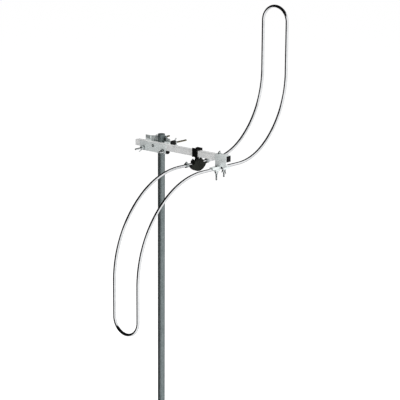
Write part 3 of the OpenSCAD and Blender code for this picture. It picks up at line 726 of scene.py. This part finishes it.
def hairpin(name, near_r, far_r, leg, upside_down):
    """Draws one half; the two bends meet where the tube leans by a 3-4-5 triangle."""
    lean = near_r - far_r
    second = (STRAIGHT + 0.6 * lean, near_r - 0.8 * lean)
    piece = fresh(name, bpy.ops.mesh.primitive_circle_add, vertices=RING, radius=TUBE_R * MM,
                  location=(0, FED_END * MM, 0), rotation=(math.pi / 2, 0, 0))
    edit(piece)
    everything()
    push(0, STRAIGHT - FED_END, 0)
    spin(FIRST_BEND, STEPS_FIRST, (0, STRAIGHT, near_r), (1, 0, 0))
    spin(SECOND_BEND, STEPS_SECOND, (0, *second), (1, 0, 0))
    push(0, 0, leg)
    spin(math.pi, STEPS_END, (GAP / 2, second[0] + far_r, second[1] + leg), (0, 1, 0))
    push(0, 0, -leg)
    spin(-SECOND_BEND, STEPS_SECOND, (GAP, *second), (1, 0, 0))
    spin(-FIRST_BEND, STEPS_FIRST, (GAP, STRAIGHT, near_r), (1, 0, 0))
    push(0, JOINED_END - STRAIGHT, 0)
    leave()
    remember_place(piece)
    edit(piece)
    everything()
    bpy.ops.mesh.normals_make_consistent(inside=False)
    leave()
    use_modifier(piece, "SOLIDIFY", thickness=TUBE_WALL * MM, offset=-1.0)
    piece.data.transform(place(0, 0, 0, (180 if upside_down else 0, "X")))
    return piece


# %% [markdown]
# Drawing marks run along the tube and have to follow its bends. So each point of the mesh
# remembers how far along the tube it lies and where round it, and the finish reads that
# instead of the place in the room.

# %% Marks that follow the bends
def remember_place(piece):
    """Stores (way along, across, across) for each point of a tube made of rings."""
    points = [v.co.copy() for v in piece.data.vertices]
    rings = [points[i:i + RING] for i in range(0, len(points), RING)]
    centres = [sum(ring, Vector()) / RING for ring in rings]
    store = piece.data.attributes.new("tube_place", "FLOAT_VECTOR", "POINT")
    along, side, worst = 0.0, Vector((1, 0, 0)), 0.0
    for number, (ring, centre) in enumerate(zip(rings, centres)):
        ahead = centres[min(number + 1, len(centres) - 1)] - centres[max(number - 1, 0)]
        ahead.normalize()
        side = (side - ahead * side.dot(ahead)).normalized()
        other = ahead.cross(side)
        if number:
            along += (centre - centres[number - 1]).length
        for k, point in enumerate(ring):
            out_way = point - centre
            worst = max(worst, abs(out_way.length - TUBE_R * MM))
            store.data[number * RING + k].vector = (along, out_way.dot(side), out_way.dot(other))
    print(piece.name, "tube length", round(along, 3), "m, ring error", round(worst * 1e6, 1), "um")


# %% Both halves
upper = hairpin("drawn_half_upper", near_r=226.8, far_r=295.4, leg=172.3, upside_down=False)
lower = hairpin("drawn_half_lower", near_r=290.9, far_r=335.9, leg=120.4, upside_down=True)
for piece, node in ((upper, "element_upper"), (lower, "element_lower")):
    complete(piece, "antenna", "aluminium_tube", node)

# %% [markdown]
# ## Threads
#
# A single-start thread seen end on is a section whose radius swells once round from root to
# crest. So one twelve-point section, turned and lifted by the Screw modifier, gives a true
# helical thread with few points.

# %% Cutting a thread
SECTION = 12
THREAD_DEPTH, END_TAPER = 0.6, 0.78  # of the pitch, of the radius
M6_R, M6_PITCH, M5_R, M5_PITCH = 3.0, 1.0, 2.5, 0.8


def thread(name, radius, pitch, length):
    """Threaded bar along +Z from z = 0."""
    turns = round(length / pitch)
    piece = fresh(name, bpy.ops.mesh.primitive_circle_add, vertices=SECTION, radius=radius * MM)
    depth = THREAD_DEPTH * pitch
    for number, vertex in enumerate(piece.data.vertices):
        away = min(number, SECTION - number) / (SECTION / 2)
        vertex.co *= 1 - depth * away / radius
    use_modifier(piece, "SCREW", axis="Z", angle=2 * math.pi, screw_offset=length * MM / turns,
                 iterations=turns, steps=SECTION, render_steps=SECTION,
                 use_normal_calculate=True)
    edit(piece)
    everything()
    bpy.ops.mesh.fill_holes(sides=SECTION + 1)
    pick(piece, "vertices", lambda v: v.co.z > (length - 0.2 * pitch) * MM)
    grow(END_TAPER, END_TAPER, 1)
    pick(piece, "vertices", lambda v: v.co.z < 0.2 * pitch * MM)
    grow(END_TAPER, END_TAPER, 1)
    leave()
    return piece


def head(name, low_r, high_r, height, sides=28):
    """Pressed bolt head standing on z = 0, with a rounded crown."""
    piece = fresh(name, bpy.ops.mesh.primitive_cylinder_add, vertices=sides, radius=low_r * MM,
                  depth=height * MM, location=(0, 0, height * MM / 2))
    edit(piece)
    pick(piece, "polygons", lambda f: f.normal.z > 0.9)
    grow(high_r / low_r, high_r / low_r, 1)
    bpy.ops.mesh.bevel(offset=0.25 * height * MM, segments=3, affect="EDGES")
    pick(piece, "polygons", lambda f: f.normal.z < -0.9)
    bpy.ops.mesh.bevel(offset=0.15 * MM, segments=1, affect="EDGES")
    leave()
    return piece


def bolts(name, body, slot, node, parts):
    complete(joined(name, parts), body, slot, node, smooth=40)


# %% [markdown]
# Two long rods reach past the mast to the jaw. Below them two bolts come through the mast
# bracket from behind, two more hang from the end clamp, and one stands on the boom's outer
# end. All but the last are M6, as the size of their wing nuts shows.

# %% The long rods
LEFT, RIGHT = -237.0, -145.0
STUD_Z, ROD_Z = 21.0, 42.5

rods = []
for number, (x, length) in enumerate(((LEFT, 110.9), (RIGHT, 96.9))):
    rod = thread(f"rod_{number}", M6_R, M6_PITCH, length)
    rod.data.transform(place(x, 10.6, ROD_Z, (-90, "X")))
    rods.append(rod)
bolts("threaded_rods", "antenna", "yellow_zinc", "clamp_rods", rods)

# %% Bolts
studs = []
for number, (x, tip) in enumerate(((LEFT, -53.4), (RIGHT, -31.4))):
    stud = thread(f"stud_{number}", M6_R, M6_PITCH, 14.0 - tip)
    stud.data.transform(place(x, 14.0, STUD_Z, (90, "X")))
    cap = head(f"stud_head_{number}", 6.5, 4.5, 2.4)
    cap.data.transform(place(x, 13.6, STUD_Z, (-90, "X")))
    studs += [stud, cap]
bolts("bracket_bolts", "antenna", "zinc_fasteners", "bracket_studs", studs)

studs = []
for number, (y, drop) in enumerate(((-19.0, 40.0), (19.0, 35.0))):
    stud = thread(f"drop_{number}", M6_R, M6_PITCH, drop + 8.0)
    stud.data.transform(place(105, y, 8.0, (180, "X")))
    cap = head(f"drop_head_{number}", 6.0, 4.5, 3.0)
    cap.data.transform(place(105, y, 7.2))
    studs += [stud, cap]
bolts("dipole_bolts", "antenna", "zinc_fasteners", "end_studs", studs)

bolt = thread("top_thread", M5_R, M5_PITCH, 31.5)
bolt.data.transform(place(101, 0, 24.5))
cap = head("top_head", 4.6, 4.4, 3.5, sides=6)
cap.data.transform(place(101, 0, 21.2))
bolts("boom_bolt", "antenna", "zinc_fasteners", "top_bolt", [bolt, cap])

# %% [markdown]
# ## Wing nuts
#
# The wing nuts are die-cast: a tapered hub with two ears that flow out of it, all edges soft.
# Each of two sizes is drawn once: the two side faces of a sixteen-sided hub are extruded
# outwards and up, the bore is bridged through, and a subdivided skin rounds the whole.

# %% One wing nut of each size
def wing_nut(name, hub_r, hub_h, span, height, bore_r):
    piece = fresh(name, bpy.ops.mesh.primitive_cylinder_add, vertices=16, radius=hub_r * MM,
                  depth=hub_h * MM, location=(0, 0, hub_h * MM / 2),
                  rotation=(0, 0, math.radians(11.25)))
    edit(piece)
    pick(piece, "polygons", lambda f: f.normal.z > 0.9)
    grow(0.8, 0.8, 1)
    reach, rise = span / 2 - hub_r, height - hub_h
    for side in (1, -1):
        pick(piece, "polygons", lambda f: f.normal.x * side > 0.96)
        for out_by, up_by, shape in ((0.22, hub_h * 0.10, (1, 0.86, 0.86)),
                                     (0.36, rise * 0.42, (0.4, 1, 1.02)),
                                     (0.30, rise * 0.30, (0.3, 0.96, 0.92)),
                                     (0.15, rise * 0.06, (0.2, 0.8, 0.6))):
            push(side * reach * out_by, 0, up_by)
            grow(*shape)
    pick(piece, "polygons", lambda f: f.normal.z > 0.9 and f.center.xy.length < hub_r * 0.2 * MM)
    bpy.ops.mesh.inset(thickness=(hub_r * 0.8 - bore_r - 0.5) * MM)
    bpy.ops.mesh.inset(thickness=0.5 * MM)
    bpy.ops.mesh.delete(type="FACE")
    pick(piece, "polygons", lambda f: f.normal.z < -0.9 and f.center.xy.length < hub_r * 0.2 * MM)
    bpy.ops.mesh.inset(thickness=0.5 * MM)
    bpy.ops.mesh.inset(thickness=(hub_r - bore_r - 1.0) * MM)
    bpy.ops.mesh.inset(thickness=0.5 * MM)
    bpy.ops.mesh.delete(type="FACE")
    bpy.ops.mesh.select_all(action="DESELECT")
    bpy.ops.mesh.select_mode(type="EDGE")
    bpy.ops.mesh.select_non_manifold()
    bpy.ops.mesh.bridge_edge_loops()
    leave()
    use_modifier(piece, "SUBSURF", levels=2, render_levels=2)
    low = min(v.co.z for v in piece.data.vertices)
    high = max(v.co.z for v in piece.data.vertices)
    wide = max(v.co.x for v in piece.data.vertices)
    fit = Matrix.Diagonal((span / 2 * MM / wide, 1, height * MM / (high - low), 1))
    piece.data.transform(fit @ Matrix.Translation((0, 0, -low)))
    return piece


m6_nut = wing_nut("m6_wing_nut", 7.0, 7.5, 30.0, 15.5, 3.06)
m5_nut = wing_nut("m5_wing_nut", 5.5, 4.5, 22.0, 8.5, 2.56)
print("wing nut faces:", len(m6_nut.data.polygons))

# %% [markdown]
# The seven nuts are copies of these two, each on its solid's seat and turned as in the
# photograph. All have the cast finish, also the jaw's two, whose slot is the rods'.

# %% Seven wing nuts
# The axis along which a nut meets its seat, and the end of its box where the seat is
BEHIND, BEFORE, ABOVE, BELOW = (1, 1), (1, 0), (2, 1), (2, 0)
CAST, ROD_ZINC = "die_cast_nut", "yellow_zinc"


def seat(node, axis, end):
    """The point where a nut's axis meets its seat, from its node's box."""
    low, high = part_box(node)
    point = (low + high) / 2
    point[axis] = (low, high)[end][axis]
    return Matrix.Translation(point)


for node, body, model, side, turns, slot in (
        ("bracket_wing_nut_left", "bracket_nut_l", m6_nut, BEHIND, ((90, "X"), (65, "Z")), CAST),
        ("bracket_wing_nut_right", "bracket_nut_r", m6_nut, BEHIND, ((90, "X"), (12, "Z")), CAST),
        ("jaw_wing_nut_left", "jaw_nut_left", m6_nut, BEFORE, ((-90, "X"), (80, "Z")), ROD_ZINC),
        ("jaw_wing_nut_right", "jaw_nut_right", m6_nut, BEFORE, ((-90, "X"), (75, "Z")), ROD_ZINC),
        ("end_wing_nut_near", "saddle_nut_near", m6_nut, ABOVE, ((-62, "Z"), (180, "X")), CAST),
        ("end_wing_nut_far", "saddle_nut_far", m6_nut, ABOVE, ((-20, "Z"), (180, "X")), CAST),
        ("top_wing_nut", "top_nut", m5_nut, BELOW, ((-60, "Z"),), CAST)):
    nut = copy_of(model, "cast_" + node, seat(node, *side) @ turned(*turns))
    complete(nut, body, slot, node, smooth=50, finish=CAST)
for model in (m6_nut, m5_nut):
    bpy.data.objects.remove(model)

# %% [markdown]
# ## The mouldings and pressings that carry the looks
#
# The mouldings, the folded plates, the trough, the jaw and its sleeves are drawn again with
# the soft corners that a mould or a press gives. Most start from one box that is cut along
# planes, and faces picked by where they look are drawn out of it.

# %% Boxes, cuts and facing
def block(name, x, y, z):
    """A box between pairs of limits, counted from FEED."""
    bpy.ops.object.select_all(action="DESELECT")
    centre = Vector((sum(x), sum(y), sum(z))) / 2
    bpy.ops.mesh.primitive_cube_add(size=MM, location=FEED + centre * MM)
    made = bpy.context.object
    made.name = name
    made.scale = (x[1] - x[0], y[1] - y[0], z[1] - z[0])
    bpy.ops.object.transform_apply(location=True, rotation=True, scale=True)
    return made


def cut(axis, *values):
    """In edit mode: cuts the whole piece along planes across an axis."""
    for value in values:
        point, normal = FEED.copy(), Vector()
        point[axis] += value * MM
        normal[axis] = 1.0
        everything()
        bpy.ops.mesh.bisect(plane_co=point, plane_no=normal)


def faces(piece, way, test=lambda p: True):
    """Picks faces that look one way and whose middles, counted from FEED, pass a test."""
    way = Vector(way)
    return pick(piece, "polygons",
                lambda f: f.normal.dot(way) > 0.9 and test((f.center - FEED) / MM))


def limits(piece):
    """A piece's limits, counted from FEED."""
    points = [(v.co - FEED) / MM for v in piece.data.vertices]
    return [(round(min(p[i] for p in points), 1), round(max(p[i] for p in points), 1))
            for i in range(3)]


def soften(piece, width, segments=3, angle=40):
    use_modifier(piece, "BEVEL", width=width * MM, segments=segments, limit_method="ANGLE",
                 angle_limit=math.radians(angle), miter_outer="MITER_ARC")


# %% [markdown]
# The clip is one moulding that closes round the boom: two fingers of unlike height, a bridge
# over the top and a neck that carries the box. The real one is snapped on, so its corners are
# generous; the fingers grow out of the base, and the bridge grows out of the near finger and
# stops just short of the far one.

# %% Moulded clip
NECK_X, NECK_Y, FINGER_Y = (-4.0, 6.3), 6.0, 10.2
BRIDGE_Z = (45.0, 48.2)
clip = block("moulded_clip", (-9.5, 13.5), (-14.2, 14.2), (22.7, 24.7))
edit(clip)
cut(0, *NECK_X)
cut(1, -FINGER_Y, -NECK_Y, NECK_Y, FINGER_Y)
print("neck", faces(clip, (0, 0, -1),
                    lambda p: NECK_X[0] < p.x < NECK_X[1] and abs(p.y) < NECK_Y))
push(0, 0, -11.6)
faces(clip, (0, 0, 1), lambda p: abs(p.y) > FINGER_Y)
push(0, 0, 20.3)  # up to the bridge
push(0, 0, 3.2)
faces(clip, (0, 0, 1), lambda p: p.y < -FINGER_Y)
push(0, 0, 5.3)  # near finger's tip
faces(clip, (0, 0, 1), lambda p: p.y > FINGER_Y)
push(0, 0, 4.6)  # far finger's tip
print("bridge", faces(clip, (0, 1, 0), lambda p: p.y < 0 and BRIDGE_Z[0] < p.z < BRIDGE_Z[1]))
for step in (9.0, 5.0, 6.2):
    push(0, step, 0)
faces(clip, (0, 0, 1), lambda p: 4 < p.y < FINGER_Y and p.z > BRIDGE_Z[0])
push(0, 0, 4.0)  # the step on the bridge's far end
leave()
soften(clip, 0.7)
complete(clip, "antenna", "black_plastic", "box_clip")

# %% [markdown]
# The lid is a half-moon with a raised rim, hung on a knuckle. It starts as a round disc that
# is cut in half, which gives an even rim, and the block and the tab above are drawn up out of
# its straight edge. The face is inset and sunk, and the knuckle is joined on last.

# %% Moulded lid
MOON_Z, MOON_R, MOON_TOP = 16.0, 41.8, 0.2
LID_BLOCK_Y, LID_TAB_Y = 22.0, 8.0
RIM, SUNK = 4.2, 1.2
lid = fresh("moulded_lid", bpy.ops.mesh.primitive_cylinder_add, vertices=128,
            radius=MOON_R * MM, depth=4.0 * MM, location=at(9.4, 0, MOON_Z),
            rotation=(0, math.pi / 2, 0))
edit(lid)
everything()
bpy.ops.mesh.bisect(plane_co=at(0, 0, MOON_TOP), plane_no=(0, 0, 1), use_fill=True,
                    clear_outer=True)
cut(1, -LID_BLOCK_Y, -LID_TAB_Y, LID_TAB_Y, LID_BLOCK_Y)
print("lid block", faces(lid, (0, 0, 1), lambda p: abs(p.y) < LID_BLOCK_Y))
push(0, 0, 10.8)
faces(lid, (0, 0, 1), lambda p: abs(p.y) < LID_TAB_Y and p.z > 10)
push(0, 0, 2.6)
faces(lid, (1, 0, 0))
bpy.ops.mesh.inset(thickness=RIM * MM)
bpy.ops.transform.translate(value=(-SUNK * MM, 0, 0))
leave()
soften(lid, 1.1, 3)
knuckle = fresh("lid_knuckle", bpy.ops.mesh.primitive_cylinder_add, vertices=32, radius=2.3 * MM,
                depth=16.0 * MM, location=at(9.2, 0, 13.6),
                rotation=(math.pi / 2, 0, 0))
soften(knuckle, 0.25, 2, 60)
complete(joined("moulded_lid", [lid, knuckle]), "lid", "lid_plastic", "box_lid")

# %% [markdown]
# The plug is a cap that covers the whole end of the boom, with a square shank inside it. The
# spacer lies between the boom and the bracket's lower flange and ends in a round knob, the
# finger grip by which it is pulled out.

# %% Plug
BOOM_WIDE, SHANK_WIDE = 20.0, 16.6
plug = block("moulded_plug", (129.0, 141.05), (-8.3, 8.3), (26.5, 43.1))
edit(plug)
faces(plug, (1, 0, 0))
push(0, 0, 0)
grow(1, BOOM_WIDE / SHANK_WIDE, BOOM_WIDE / SHANK_WIDE)
push(1.1, 0, 0)
leave()
soften(plug, 0.4, 2)
complete(plug, "antenna", "black_plastic", "boom_end_plug")

# %% Spacer with its knob
spacer = block("moulded_spacer", (-253.0, -133.5), (-10.0, 10.0), (14.1, 24.7))
soften(spacer, 0.8, 2)
knob = fresh("knob", bpy.ops.mesh.primitive_uv_sphere_add, segments=40, ring_count=24,
             radius=6.4 * MM, location=at(-129.0, -5.0, 18.6))
edit(knob)
everything()
bpy.ops.mesh.bisect(plane_co=at(-133.6, 0, 0), plane_no=(1, 0, 0), use_fill=True,
                    clear_inner=True)
leave()
complete(joined("moulded_spacer", [spacer, knob]), "antenna", "black_plastic", "bracket_spacer")

# %% [markdown]
# The end bracket is sheet folded over the boom. The near leg reaches down to the trough and
# the far one stops under the boom. One face stands for the sheet: its edges are drawn down,
# the two folds are rounded and the sheet gets its thickness last, as on the real press. The
# bracket on the mast is folded in the same way, so the steps are functions.

# %% Folding sheet
def flat_sheet(name, x, y, z):
    """One face, the top of a block, left in edit mode."""
    piece = block(name, x, y, z)
    edit(piece)
    faces(piece, (0, 0, 1))
    bpy.ops.mesh.select_all(action="INVERT")
    bpy.ops.mesh.delete(type="FACE")
    return piece


def fold(piece, height, test):
    """Draws an edge of the sheet up or down."""
    pick(piece, "vertices", test)
    bpy.ops.mesh.select_mode(type="EDGE")
    push(0, 0, height)


def thicken(piece, bend, segments, thickness, offset):
    """Rounds the folds and gives the sheet its thickness."""
    use_modifier(piece, "BEVEL", width=bend * MM, segments=segments, limit_method="ANGLE",
                 angle_limit=math.radians(60))
    use_modifier(piece, "SOLIDIFY", thickness=thickness * MM, offset=offset,
                 use_even_offset=True)


# %% Folded bracket
bracket = flat_sheet("folded_bracket", (92.0, 140.0), (-12.2, 12.2), (45.9, 46.9))
fold(bracket, -39.6, lambda v: v.co.y < FEED.y)
fold(bracket, -22.0, lambda v: v.co.y > FEED.y)
leave()
thicken(bracket, bend=2.2, segments=5, thickness=1.8, offset=-1.0)
hole = fresh("drill", bpy.ops.mesh.primitive_cylinder_add, vertices=24, radius=1.8 * MM,
             depth=8 * MM, location=at(118.9, -11, 30.8),
             rotation=(math.pi / 2, 0, 0))
use_modifier(bracket, "BOOLEAN", operation="DIFFERENCE", object=hole, solver="EXACT")
bpy.data.objects.remove(hole)
soften(bracket, 0.25, 2, 60)
print("strap", limits(bracket))
complete(bracket, "antenna", "zinc_plate", "end_bracket", smooth=50)

# %% [markdown]
# The trough is a channel pressed over the two tube ends. A window in its front lip shows
# where the ends meet; the dark upper side of the tube is seen through it. Channel and window
# are cut out with plain boxes, because both are square, and the sheet's edges are broken last.

# %% Trough with its window
CHANNEL = ((99.9, 110.1), (-50.0, 32.0), (-4.0, 5.15))
WINDOW = ((105.0, 116.0), (-6.0, 24.0), (-4.0, 4.6))
trough = block("pressed_trough", (97.0, 113.0), (-46.0, 28.0), (-1.4, 7.1))
for number, hollow in enumerate((CHANNEL, WINDOW)):
    cutter = block(f"cutter_{number}", *hollow)
    use_modifier(trough, "BOOLEAN", operation="DIFFERENCE", object=cutter, solver="EXACT")
    bpy.data.objects.remove(cutter)
soften(trough, 0.5, 2, 60)
print("trough", limits(trough))
complete(trough, "antenna", "zinc_plate", "end_trough", smooth=50)

# %% [markdown]
# The mast bracket is an angle of the same sheet: a web on the boom's near side and a narrow
# flange below, on which the spacer lies. The fold is rounded like the end bracket's.

# %% Pressed bracket
angle = flat_sheet("pressed_bracket", (-254.0, -132.5), (-12.4, 5.1), (11.1, 12.1))
fold(angle, 32.8, lambda v: v.co.y < FEED.y - 10 * MM)
leave()
thicken(angle, bend=1.8, segments=4, thickness=1.9, offset=1.0)
soften(angle, 0.3, 2, 60)
print("bracket", limits(angle))
complete(angle, "antenna", "zinc_plate", "clamp_bracket", smooth=50)

# %% [markdown]
# The jaw is one strip of bright zinc plate pressed into a V behind the mast. Three broad
# ribs like saw teeth cross each flank: their long faces look one way and their short ones
# the other, so they show as dark and light stripes. The strip is drawn point by point in
# plan, raised to its height, and then given its thickness and soft corners.

# %% Pressed jaw
JAW_X, JAW_Z, JAW_TALL, JAW_T = -191.0, 24.0, 37.0, 2.5
EAR_Y, FLANK, RIB = 16.39, (38.0, 31.89), 2.7
OUT_X, OUT_Y = 0.643, 0.766  # square to the right flank


def on_flank(fraction, out):
    """A point of the strip's middle on the right flank, pressed away from the mast."""
    away = out + JAW_T / 2
    return (FLANK[0] * (1 - fraction) + OUT_X * away,
            EAR_Y + FLANK[1] * fraction + OUT_Y * away)


ribs = [on_flank(start + step, out) for start in (0.04, 0.34, 0.64)
        for step, out in ((0.0, RIB), (0.205, 0.0))] + [on_flank(0.93, RIB)]
right_half = [(52.5, EAR_Y + JAW_T / 2), (41.0, EAR_Y + JAW_T / 2)] + ribs
left_half = [(-x, y) for x, y in reversed(right_half[1:])] + [(-62.5, EAR_Y + JAW_T / 2)]
plan = right_half + left_half
jaw = fresh("pressed_jaw", bpy.ops.mesh.primitive_plane_add, size=MM,
            location=at(JAW_X + plan[0][0], plan[0][1], JAW_Z))
edit(jaw)
everything()
bpy.ops.mesh.merge(type="CENTER")
for here, there in zip(plan, plan[1:]):
    push(there[0] - here[0], there[1] - here[1], 0)
everything()
push(0, 0, JAW_TALL)
leave()
use_modifier(jaw, "SOLIDIFY", thickness=JAW_T * MM, offset=0.0, use_even_offset=True)
soften(jaw, 0.5, 3, 12)
print("jaw", limits(jaw))
# The jaw's finish is the zinc plate painted darker as shade, and more metallic.
complete(jaw, "jaw", "zinc_plate", "clamp_jaw", finish="shaded_bright_zinc_plate")

# %% [markdown]
# Behind the jaw a moulded sleeve on each rod keeps the wing nut clear of the mast. It has a
# narrow neck towards the jaw's ear and a full round body, drawn here out of one cylinder.

# %% Sleeves
NECK_R, BODY_R = 7.0, 9.0
sleeves = []
for number, x in enumerate((LEFT, RIGHT)):
    sleeve = fresh(f"sleeve_{number}", bpy.ops.mesh.primitive_cylinder_add, vertices=40,
                   radius=NECK_R * MM, depth=2.5 * MM, location=(0, 0, 1.25 * MM))
    edit(sleeve)
    pick(sleeve, "polygons", lambda f: f.normal.z > 0.9)
    push(0, 0, 0)
    grow(BODY_R / NECK_R, BODY_R / NECK_R, 1)
    push(0, 0, 23.5)
    bpy.ops.mesh.inset(thickness=5.8 * MM)
    push(0, 0, -20.0)
    leave()
    soften(sleeve, 0.8, 3)
    sleeve.data.transform(place(x, 18.99, ROD_Z, (-90, "X")))
    sleeves.append(sleeve)
complete(joined("moulded_sleeves", sleeves), "jaw", "black_plastic", "jaw_sleeves")
